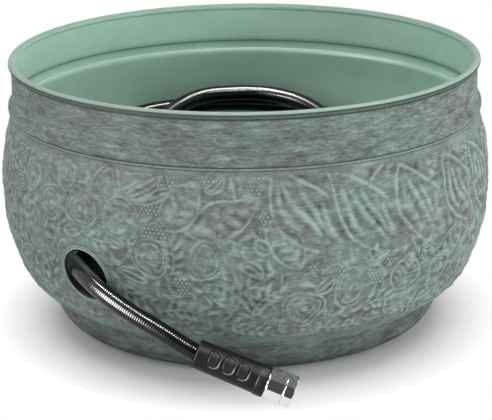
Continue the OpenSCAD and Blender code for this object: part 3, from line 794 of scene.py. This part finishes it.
DOTS = [  # az, y, width, height, angle
    (251, 11, 30, 16, 10), (261, 9, 30, 10, 0), (249, 38, 18, 34, 20), (250.6, 62, 34, 18, 25),
    (244.6, 68, 16, 18, 0), (255.4, 108, 24, 18, 0), (272.8, 13, 16, 22, 0), (274.6, 48, 15, 30, 5),
    (288, 93, 40, 18, 10), (299, 108, 22, 22, 0), (302.8, 90, 22, 16, 0), (315, 96, 24, 18, 0),
    (289.4, 12, 14, 18, 0), (304, 12, 14, 16, 0), (318.6, 14, 14, 16, 0), (332.6, 16, 14, 18, 0),
    (346.4, 18, 14, 20, 0), (207.4, 44, 20, 30, 0), (192, 60, 20, 40, 0), (212, 62, 16, 22, 0),
    (270.6, 122, 20, 18, 0), (276, 148, 18, 12, 0), (344, 84, 22, 16, 0), (229, 100, 24, 20, 30)]


def box_blur(h, k):
    """h averaged over 2 k + 1 points each way, round the girth."""
    def along(a, axis):
        return sum(np.roll(a, s, axis) for s in range(-k, k + 1)) / (2 * k + 1)
    pad = np.concatenate([h[:1].repeat(3 * k, 0), h, h[-1:].repeat(3 * k, 0)])
    for _ in range(2):
        pad = along(along(pad, 0), 1)
    return pad[3 * k:-3 * k]


def soft_field(k):
    """A smooth random field over the belly, about -1 to 1, its lumps some 3 k points across."""
    field = box_blur(RNG.normal(size=(ROWS, COLS)), k)
    return field / field.std()


def bent(h, down, along):
    """h with each point taken from a little way off, in rows and columns."""
    i = np.clip(np.arange(ROWS)[:, None] + down, 0, ROWS - 1.01)
    j = (np.arange(COLS)[None, :] + along) % COLS
    i0, j0 = i.astype(int), j.astype(int) % COLS
    fi, fj, j1 = i - i0, j - np.floor(j), (j0 + 1) % COLS
    return ((1 - fi) * ((1 - fj) * h[i0, j0] + fj * h[i0, j1])
            + fi * ((1 - fj) * h[i0 + 1, j0] + fj * h[i0 + 1, j1]))


def draw_motifs(f):
    """The roses, leaves and sprigs, twice round the belly."""
    for half in (0, 180):
        for az, y, r, spin in ROSES:
            rose(f, az_mm(az + half), y, r, spin)
        for draw, rows in ((long_leaf, LONG_LEAVES), (rib_leaf, RIB_LEAVES), (small_leaf, SMALL_LEAVES),
                           (sprig, SPRIGS)):
            for az0, y0, az1, y1, *rest in rows:
                draw(f, az_mm(az0 + half), y0, az_mm(az1 + half), y1, *rest)


def fill_ground(f):
    """Short curved strokes wherever the field is still open."""
    for _ in range(GROUND_STROKES):
        x, y = RNG.uniform(0, RING_MM), RNG.uniform(*STROKE_FROM)
        size, turn = RNG.uniform(9, 19), RNG.uniform(-math.pi, math.pi)
        x1, y1 = x + size * math.cos(turn), y + size * math.sin(turn)
        if not STROKE_TO[0] < y1 < STROKE_TO[1]:
            continue
        near = f.window((x + x1) / 2, (y + y1) / 2, size * 0.34)[0]
        if f.used[near].mean() > 0.2 or in_dots(x, y):
            continue
        bend = RNG.uniform(-0.22, 0.22) * size
        f.stroke(bow(x, y, x1, y1, bend), RNG.uniform(1.8, 4.2), RNG.uniform(0.4, 0.8), 0.6)


def fade(value, start, width):
    """0 up to the start and 1 past the width, or the other way round for a width below 0."""
    return np.clip((value - start) / width, 0, 1)


def field_share(f):
    """1 over the embossed field, softly 0 at the seam, on the heel and round the port."""
    edge = fade(f.y, *FADE_TOP) * fade(f.y, *FADE_HEEL)
    share = (edge * edge * (3 - 2 * edge))[:, None] * np.ones((1, COLS))
    at, x, y = f.window(az_mm(math.degrees(PORT_AZ)), PORT_V / MM, sum(FADE_PORT))
    share[at] *= fade(np.hypot(x, y), *FADE_PORT)
    return share


def make_relief():
    """The embossing's heights, about 0 to 1, and the painted light for the patina: lighter on ridges, darker
    beside them.
    """
    f = Relief()
    draw_motifs(f)
    fill_ground(f)
    down, along = WARP * soft_field(11), WARP * soft_field(11)
    f.h = bent(f.h, down, along) * np.clip(0.84 + 0.26 * soft_field(7), 0.3, 1.15)
    f.h += 0.1 * soft_field(2)
    for half in (0, 180):
        for az, y, wide, high, angle in DOTS:
            dots(f, az_mm(az + half), y, wide, high, math.radians(angle))
    h = f.h * field_share(f)
    # Painted light: the heights less their blur, lighter on the ridges and darker beside them
    return h, np.clip(0.5 + 0.95 * (h - box_blur(h, 4)), 0, 1)


# ---- belly and port ring

INNER_ROWS = 52
CUFF_IN, LIP_R = FOOT_R - SHEET, SEAM_R - SHEET - 0.4 * MM
SPIGOT_R, SPIGOT_TOP = LIP_R - SHEET, SEAM_Z + 4.5 * MM
# The height below the seam in which the wall's inside leans over to the spigot
EASE_H = 26 * MM
RELIEF_H, RELIEF_SUNK = 1.7, 0.3
# Only the wall this near the port's plane is cut
PORT_REACH = 20 * MM
# The port ring's section: radius from the port's axis, height over the belly (mm), painted brightness
# The brightness paints highlights on the rolls and shade in the gap and the barrel
RING_SECTION = [
    (30.4, 0, 0.4), (30.2, 0.6, 0.6), (29.6, 1, 0.78), (28.9, 0.75, 0.55), (28.5, 0.3, 0.25),
    (28.1, 0.5, 0.45), (27.5, 1.2, 0.74), (26.8, 1.3, 0.74), (26.2, 0.9, 0.5), (26, 0.2, 0.2),
    (26, -2.4, 0.1), (27.4, -2.4, 0.1), (27.4, -0.2, 0.1)]
RING_SIDES = 144


def port_frame():
    """The port's centre on the belly's face, and its axis, which points out of the pot."""
    tilt = math.asin((BELLY_Z - PORT_Z) / LOWER_R)
    r = BELLY_R - LOWER_R + LOWER_R * math.cos(tilt)
    return np.array(polar(r, PORT_AZ, PORT_Z)), np.array(heading(PORT_AZ, -tilt))


def open_port(verts, quads):
    """Draws the belly's points inside the port out to its circle; gives them, and which quads stay."""
    centre, out = port_frame()
    rel = verts - centre
    depth = rel @ out
    flat = rel - depth[:, None] * out
    d = np.linalg.norm(flat, axis=1)
    gone = (np.abs(depth) < PORT_REACH) & (d < PORT_R)
    verts[gone] += flat[gone] * (PORT_R / d[gone] - 1)[:, None]
    return verts, ~gone[quads].all(1)


def spun(r, z):
    """Points of rings round the pot's axis, from a row of radii and heights for each ring."""
    az = np.arange(COLS) * 2 * math.pi / COLS
    z = np.broadcast_to(z, (len(z), COLS))
    return np.stack([r * np.cos(az), r * np.sin(az), z], -1).reshape(-1, 3)


def inner_profile():
    """Radii and heights from under the cuff, up the wall's inside, over the spigot and out to the seam."""
    q = profile(np.linspace(PROFILE_LENGTH, 0, INNER_ROWS))
    q_r, q_z = q[:, 0] - SHEET * q[:, 2], q[:, 1] - SHEET * q[:, 3]
    wall = [(FOOT_R, FOOT_H), (CUFF_IN, FOOT_H)] + [(max(a, CUFF_IN), b) for a, b in zip(q_r, q_z)]
    over = wall[-1][0] - SPIGOT_R
    wall = [(a - over * smooth((b - SEAM_Z + EASE_H) / EASE_H), b) for a, b in wall]
    return np.array(wall[:-1] + [(SPIGOT_R, SEAM_Z - SHEET), (SPIGOT_R, SPIGOT_TOP), (LIP_R, SPIGOT_TOP),
                                 (LIP_R, SEAM_Z), (SEAM_R, SEAM_Z)])


def make_belly(outside, inside):
    """The bulging wall, embossed outside and plain inside, with the port's hole in it."""
    h, crest = make_relief()
    p = profile(np.linspace(0, PROFILE_LENGTH, ROWS))
    lift = (RELIEF_H * h - RELIEF_SUNK) * MM * np.clip(np.arange(ROWS) / 4, 0, 1)[:, None]
    outer = spun(p[:, 0:1] + lift * p[:, 2:3], p[:, 1:2] + lift * p[:, 3:4])
    inner = inner_profile()
    verts = np.concatenate([outer, spun(inner[:, :1], inner[:, 1:])])
    quads = tube_quads(ROWS + len(inner), COLS, closed=True)[:, ::-1]
    # The relief's painted light outside, and an even 0.5 inside
    shade = np.concatenate([crest.ravel(), np.full(len(inner) * COLS, 0.5)])
    slots = (quads.min(1) >= (ROWS + 2) * COLS).astype(int)
    verts, keep = open_port(verts, quads)
    return new_mesh("belly", verts, quads[keep], {"relief": shade}, [outside, inside], slots[keep])


def onto_belly(p, out):
    """Points moved along the port's axis onto the face of the belly's lower arc."""
    for _ in range(4):
        k = 1 - (BELLY_R - LOWER_R) / np.hypot(p[:, 0], p[:, 1])
        ahead = np.stack([p[:, 0] * k, p[:, 1] * k, p[:, 2] - BELLY_Z], -1)
        off = np.linalg.norm(ahead, axis=1) - LOWER_R
        p = p - (off / (ahead @ out / LOWER_R))[:, None] * out
    return p


def make_eyelet(material):
    """The port's ring: two fine rolls on the belly's face, and a barrel through the sheet."""
    centre, out = port_frame()
    across = np.cross([0, 0, 1], out)
    across /= np.linalg.norm(across)
    spoke = spokes(RING_SIDES, across, np.cross(out, across))
    rings = [onto_belly(centre + rho * MM * spoke, out) + lift * MM * out for rho, lift, _ in RING_SECTION]
    shade = np.repeat([painted_ring_light for _, _, painted_ring_light in RING_SECTION], RING_SIDES)
    quads = tube_quads(len(rings), RING_SIDES, closed=True)
    return new_mesh("port_ring", np.concatenate(rings), quads, {"relief": shade}, [material])


# ---- grip sleeve

# In millimetres: the radii of the core and of the outside at both ends, and the collar's radius and length
SLEEVE_CORE, SLEEVE_BACK, SLEEVE_FRONT, COLLAR_R, COLLAR_LEN = 8.7, 13.3, 14.0, 14.7, 9.0
SLEEVE_SIDES, SLEEVE_ROWS = 192, 170
# The oval rings: the first one's place, their pitch, the radius of their ends, half the straight stretch
# between those, their depth, and how far their side faces up
OVAL_FIRST, OVAL_PITCH, OVAL_R, OVAL_FLAT, OVAL_DEPTH = 17.0, 14.0, 5.9, 3.4, 0.6
OVAL_RISE = math.radians(26)


def sleeve_profile():
    """Distances along the sleeve from its hose end, and the radii there, in millimetres."""
    length = GRIP_LEN / MM
    collar = length - COLLAR_LEN
    back = [(0, SLEEVE_CORE), (0, SLEEVE_BACK - 0.8)]
    body = np.stack([np.linspace(0.8, collar, SLEEVE_ROWS),
                     np.linspace(SLEEVE_BACK, SLEEVE_FRONT, SLEEVE_ROWS)], -1)
    front = [(collar + 0.1, SLEEVE_FRONT + 0.1), (collar + 0.7, COLLAR_R - 0.1), (collar + 0.9, COLLAR_R),
             (length - 0.9, COLLAR_R), (length - 0.6, COLLAR_R), (length, COLLAR_R - 0.6),
             (length, SLEEVE_CORE)]
    return np.concatenate([back, body, front]).T


def bell(value, middle, width):
    """1 at the middle value, falling to 0 on both sides."""
    return np.exp(-((value - middle) / width) ** 2)


def sleeve_ovals(z):
    """The oval rings at distances z along the sleeve and all round it: how far a point is from the nearest
    one's middle, 1 being its edge, how deep it is sunk, and whether it is in the part that glints."""
    a = np.arange(SLEEVE_SIDES) * 2 * math.pi / SLEEVE_SIDES
    half_turn = (a + math.pi / 2) % math.pi - math.pi / 2
    down = np.clip(half_turn, -1.4, 1.4)[None, :] * SLEEVE_FRONT
    along = (z - OVAL_FIRST - OVAL_PITCH * np.clip(np.round((z - OVAL_FIRST) / OVAL_PITCH), 0, 2))[:, None]
    ring = np.hypot(along, np.maximum(np.abs(down) - OVAL_FLAT, 0)) / OVAL_R
    dent = (bell(ring, 0.86, 0.11) - 0.15 * bell(ring, 1.08, 0.08)
            + 0.5 * np.clip(1 - ring / 0.8, 0, 1) ** 0.5)
    # A painted glint along each ring's lower edge
    glint = np.clip((0.45 * along + 0.5 * down - 1.9) / 2, 0, 1) * bell(ring, 0.9, 0.07)
    return ring, dent, glint


def make_sleeve(material):
    """The hose's grip: a slightly tapered sleeve with a collar, and three oval rings sunk in each side."""
    z, r = sleeve_profile()
    ring, dent, glint = sleeve_ovals(z)
    radius = r[:, None] - OVAL_DEPTH * dent
    axis = np.array(OUTLET_DIR)
    across = np.array([math.sin(OUTLET_YAW), -math.cos(OUTLET_YAW), 0])
    above = np.cross(across, axis)
    face = across * math.cos(OVAL_RISE) + above * math.sin(OVAL_RISE)
    below = across * math.sin(OVAL_RISE) - above * math.cos(OVAL_RISE)
    start = np.array(OUTLET) - (NUT_LEN + GRIP_LEN) * axis
    verts = (start + (z[:, None] * axis * MM)[:, None]
             + radius[:, :, None] * MM * spokes(SLEEVE_SIDES, face, below))
    quads = tube_quads(len(z), SLEEVE_SIDES, closed=True)
    return new_mesh("sleeve", verts.reshape(-1, 3), quads, {"ring": ring.ravel(), "glint": glint.ravel()},
                    [material])


# ---- build

MATERIALS = {"relief": relief_material(), "band": band_material(), "foot": foot_material(),
             "inside": inside_material(), "eyelet": eyelet_material(), "hose": hose_material(),
             "sleeve": sleeve_material(), "chrome": chrome_material(), "washer": washer_material()}

sleeve = make_sleeve(MATERIALS["sleeve"])
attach(sleeve, "pot")
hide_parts("grip_sleeve")

hose, hose_path, hose_length = make_hose(MATERIALS["hose"])
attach(hose, "pot")
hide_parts("hose_coil", "port_lead", "top_loops")

belly = make_belly(MATERIALS["relief"], MATERIALS["inside"])
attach(belly, "pot")
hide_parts("belly_shell")

ring = make_eyelet(MATERIALS["eyelet"])
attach(ring, "pot")
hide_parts("port_eyelet")

# The CAD's own meshes, with materials of their own
for name, key in (("neck_band", "band"), ("base_pan", "foot"), ("coupling_tail", "chrome"),
                  ("coupling_nut", "chrome"), ("hose_washer", "washer"), ("male_ferrule", "chrome"),
                  ("male_coupling", "chrome")):
    slots = nodes[name].data.materials
    if len(slots) == 0:
        slots.append(MATERIALS[key])
    for i in range(len(slots)):
        slots[i] = MATERIALS[key]

# ---- stage and light

WHITE, BLACK = (1, 1, 1, 1), (0, 0, 0, 1)
FLOOR_HALF = 14.0
# The floor's colours: mottled between two for diffuse rays, and one for all others
FLOOR_LOW, FLOOR_HIGH, FLOOR_SEEN = (0.85, 0.85, 0.85, 1), (0.87, 0.87, 0.87, 1), (0.77, 0.77, 0.77, 1)
# The floor's glow near the pot, and the distances between which it turns to plain white
FLOOR_LIFT, FLOOR_NEAR, FLOOR_FAR = 0.04, 0.185, 0.25
WORLD_BRIGHT, WORLD_DIM, WORLD_DARK = 1.04, 0.08, 0.85
# Where the room is dim, and where it is dark to glossy rays only
DIM_TOWARDS, DARK_TOWARDS = Vector((0.1, -0.93, 0.36)), Vector((0.3, 0.25, 0.92))
LAMP_AIM = Vector((0, -0.05, 0.12))
# Each lamp's name, place, size, power and turn, and the kind of rays that see it
LAMPS = [
    ("front", (0.0, -1.9, 1.9), (0.9, 0.9), 4, 0, "diffuse"),
    ("right", (1.9, -1.1, 0.5), (0.7, 0.6), 16, 0, "diffuse"),
    ("low", (0.3, -2.3, 0.4), (1.2, 0.5), 9, 0, "diffuse"),
    ("left", (-1.5, -0.85, 0.5), (1.1, 1.2), 150, 0, "glossy"),
    ("strip", (0.05, 0.35, 1.9), (1.6, 0.32), 160, 0, "glossy"),
    ("line", (-0.16, -0.46, 1.85), (1.9, 0.07), 85, math.radians(-28), "glossy")]


def floor_material():
    """Pale to diffuse rays; to all others it keeps the pot's shadow and turns plain white away from it."""
    s = Shader("floor white")
    path = s.node("LightPath").outputs
    through = s.math("MAXIMUM", path["Is Glossy Ray"], path["Is Transmission Ray"])
    seen = s.math("MAXIMUM", path["Is Camera Ray"], through)
    pale = s.mix(s.span(s.noise((40, 40, 40), 2), 0.4, 0.6), FLOOR_LOW, FLOOR_HIGH)
    squashed = s.node("Mapping", {"Vector": s.coords(), "Scale": (1, 0.9, 1)}).outputs[0]
    away = s.vector("LENGTH", squashed)["Value"]
    far = s.span(away, FLOOR_NEAR, FLOOR_FAR)
    near = s.mix(seen, pale, FLOOR_SEEN)
    glow = s.math("MULTIPLY", seen, s.span(far, 0.0, 1.0, FLOOR_LIFT, 1.0))
    return s.set(Base_Color=s.mix(s.math("MULTIPLY", far, seen), near, BLACK), Roughness=1.0,
                 Specular_IOR_Level=0.0, Emission_Color=WHITE, Emission_Strength=glow)


def make_stage():
    """A wide floor under the pot, which keeps its shadow."""
    h = FLOOR_HALF
    floor = new_mesh("floor", [(-h, -h, 0), (h, -h, 0), (h, h, 0), (-h, h, 0)], [(0, 1, 2, 3)],
                     materials=[floor_material()])


def make_world():
    """A white room, dim on the side the camera stands on, and dark overhead to glossy rays."""
    world = bpy.data.worlds.new("world")
    bpy.context.scene.world = world
    n = Nodes(world)
    path = n.node("LightPath").outputs
    sky = n.node("TexCoord").outputs["Generated"]
    level = n.span(n.dot(sky, DIM_TOWARDS), 0.5, 0.95, WORLD_BRIGHT, WORLD_DIM, "SMOOTHSTEP")
    dark = n.span(n.dot(sky, DARK_TOWARDS), 0.72, 0.9, 0.0, WORLD_DARK, "SMOOTHSTEP")
    level = n.math("SUBTRACT", level, n.math("MULTIPLY", dark, path["Is Glossy Ray"]))
    back = n.node("Background", {"Color": WHITE, "Strength": n.math("MAXIMUM", level, path["Is Camera Ray"])})
    n.node("OutputWorld", {0: back.outputs[0]})


def make_lamps():
    """Soft lamps that only diffuse rays see, and bright ones for highlights that only glossy rays see."""
    for name, place, size, power, turn, rays in LAMPS:
        data = bpy.data.lights.new(name, "AREA")
        data.shape = "RECTANGLE"
        data.size, data.size_y = size
        data.energy = power
        lamp = bpy.data.objects.new(name, data)
        lamp.location = place
        aim = (Vector(place) - LAMP_AIM).to_track_quat("Z", "Y")
        lamp.rotation_euler = (aim @ Quaternion((0, 0, 1), turn)).to_euler()
        lamp.visible_diffuse, lamp.visible_glossy = rays == "diffuse", rays == "glossy"
        bpy.context.collection.objects.link(lamp)


make_stage()
make_world()
make_lamps()
bpy.context.scene.view_settings.view_transform = "Standard"
